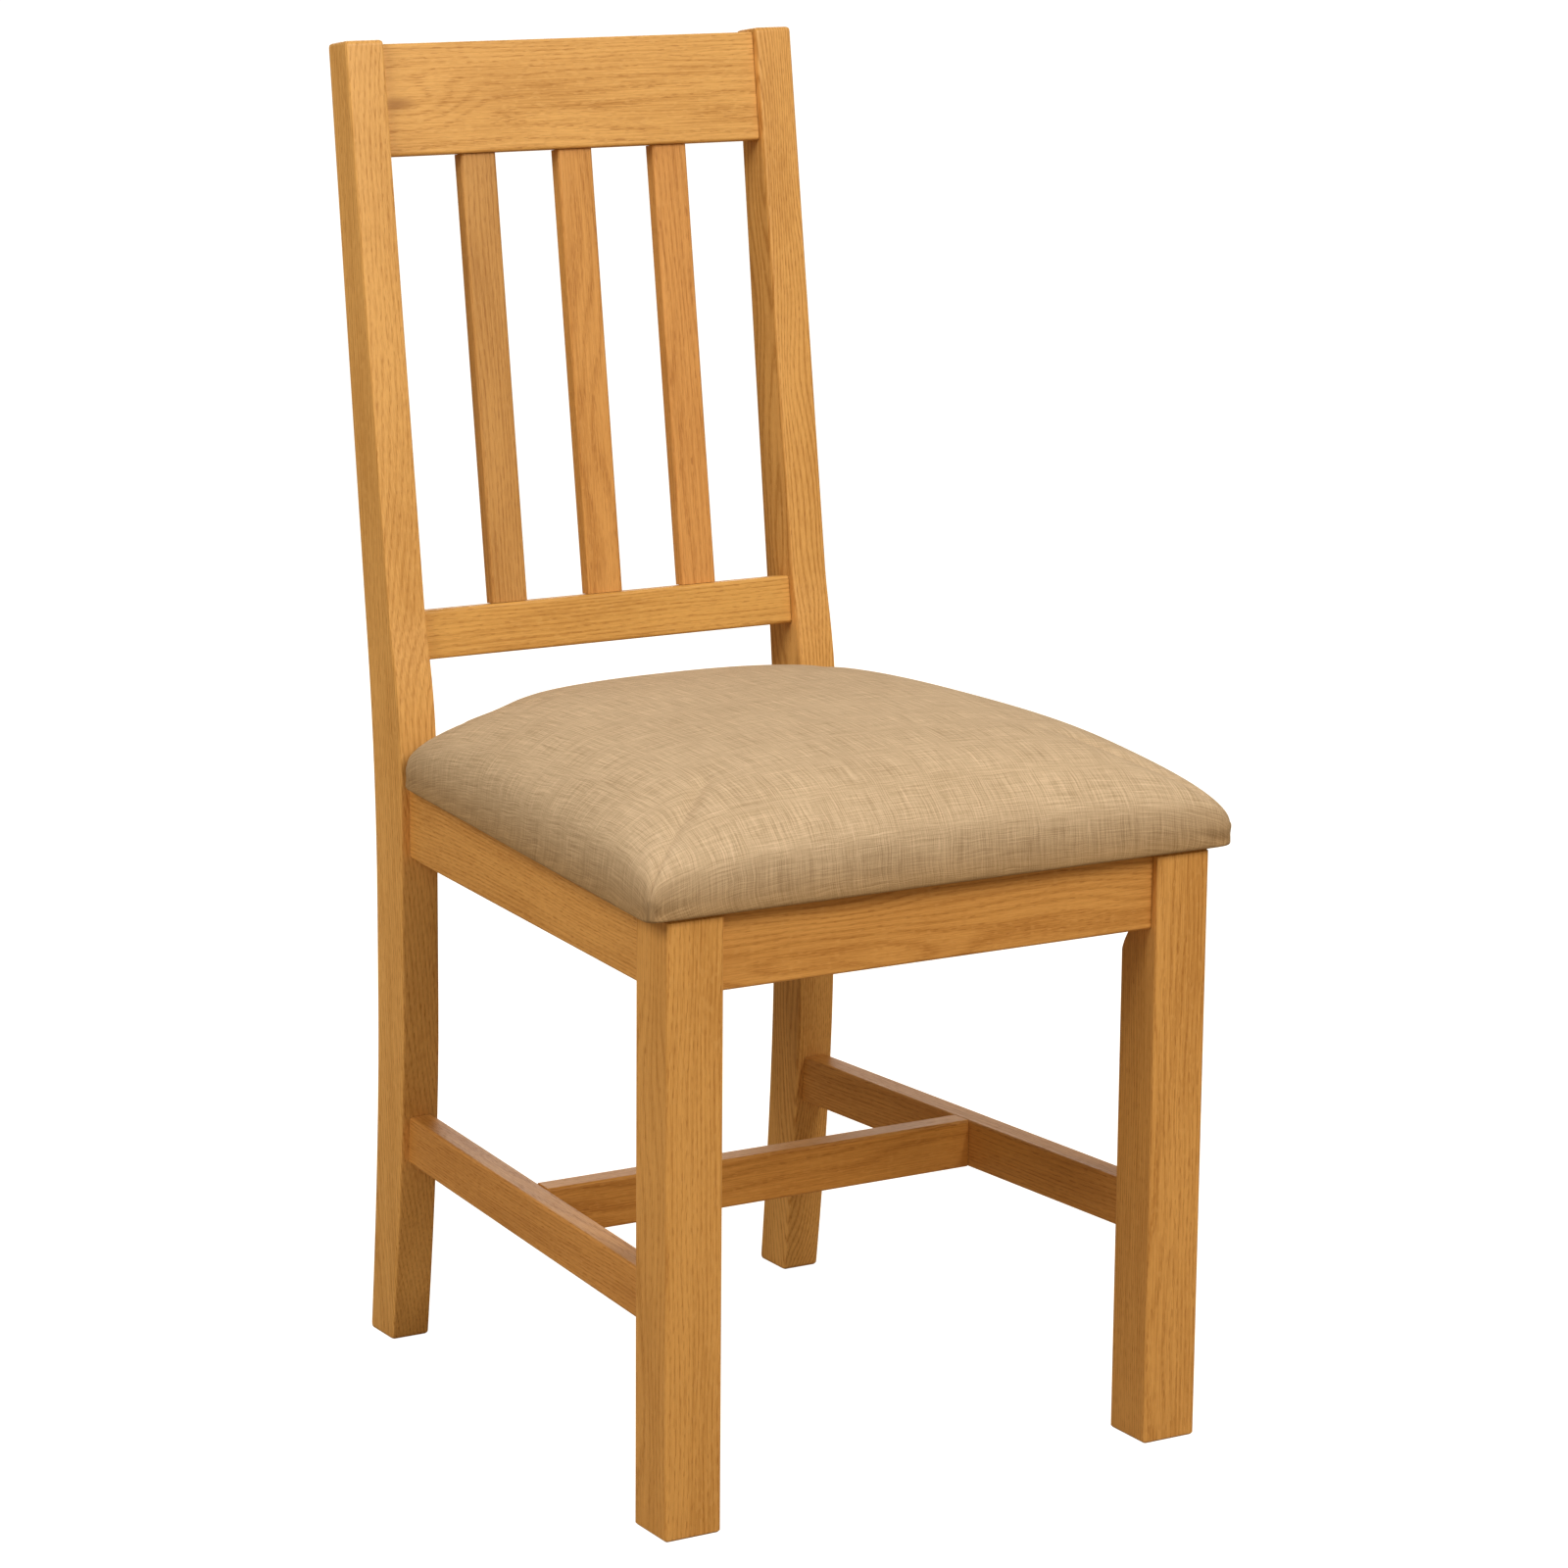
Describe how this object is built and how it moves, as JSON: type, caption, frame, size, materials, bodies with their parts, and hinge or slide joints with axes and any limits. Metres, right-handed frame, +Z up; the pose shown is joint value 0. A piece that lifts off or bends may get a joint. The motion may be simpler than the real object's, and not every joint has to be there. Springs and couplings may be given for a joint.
{
  "type": "dining chair",
  "caption": "Upright wooden dining chair with a raked slat back, square front legs, an H-stretcher and a crowned upholstered seat pad.",
  "frame": {"origin": "on the floor at the middle of the chair's bounding box", "axes": "+Z up, +X across the chair to the sitter's left, the chair faces -Y"},
  "size_m": [0.493, 0.5829, 0.9994],
  "materials": {
    "leg_oak": "satin lacquered oak",
    "post_oak": "satin lacquered oak",
    "crest_oak": "satin lacquered oak",
    "slat_oak": "satin lacquered oak",
    "rail_oak": "satin lacquered oak",
    "stretcher_oak": "satin lacquered oak",
    "block_wood": "raw sawn softwood",
    "dowel_wood": "raw turned beech",
    "plywood": "raw birch plywood",
    "foam": "open-cell foam",
    "linen_cloth": "woven linen-look cloth with slubs",
    "dust_cloth": "black spunbonded cloth",
    "zinc_steel": "zinc-plated"
  },
  "bodies": {
    "root": {"back_post_left": "post_oak", "back_post_right": "post_oak", "back_seat_rail": "rail_oak", "back_slat_centre": "slat_oak", "back_slat_left": "slat_oak", "back_slat_right": "slat_oak", "block_screw_back_left_a": "zinc_steel", "block_screw_back_left_b": "zinc_steel", "block_screw_back_right_a": "zinc_steel", "block_screw_back_right_b": "zinc_steel", "block_screw_front_left_a": "zinc_steel", "block_screw_front_left_b": "zinc_steel", "block_screw_front_right_a": "zinc_steel", "block_screw_front_right_b": "zinc_steel", "corner_block_back_left": "block_wood", "corner_block_back_right": "block_wood", "corner_block_front_left": "block_wood", "corner_block_front_right": "block_wood", "crest_rail": "crest_oak", "cross_stretcher": "stretcher_oak", "front_leg_left": "leg_oak", "front_leg_right": "leg_oak", "front_seat_rail": "rail_oak", "lower_back_rail": "crest_oak", "rail_dowel_back_left_lower": "dowel_wood", "rail_dowel_back_left_upper": "dowel_wood", "rail_dowel_back_right_lower": "dowel_wood", "rail_dowel_back_right_upper": "dowel_wood", "rail_dowel_front_left_lower": "dowel_wood", "rail_dowel_front_left_upper": "dowel_wood", "rail_dowel_front_right_lower": "dowel_wood", "rail_dowel_front_right_upper": "dowel_wood", "rail_dowel_side_back_left_lower": "dowel_wood", "rail_dowel_side_back_left_upper": "dowel_wood", "rail_dowel_side_back_right_lower": "dowel_wood", "rail_dowel_side_back_right_upper": "dowel_wood", "rail_dowel_side_front_left_lower": "dowel_wood", "rail_dowel_side_front_left_upper": "dowel_wood", "rail_dowel_side_front_right_lower": "dowel_wood", "rail_dowel_side_front_right_upper": "dowel_wood", "seat_board": "plywood", "seat_cover": "linen_cloth", "seat_dust_cover": "dust_cloth", "seat_foam": "foam", "seat_screw_back_left": "zinc_steel", "seat_screw_back_right": "zinc_steel", "seat_screw_front_left": "zinc_steel", "seat_screw_front_right": "zinc_steel", "side_seat_rail_left": "rail_oak", "side_seat_rail_right": "rail_oak", "side_stretcher_left": "stretcher_oak", "side_stretcher_right": "stretcher_oak"}
  },
  "joints": []
}
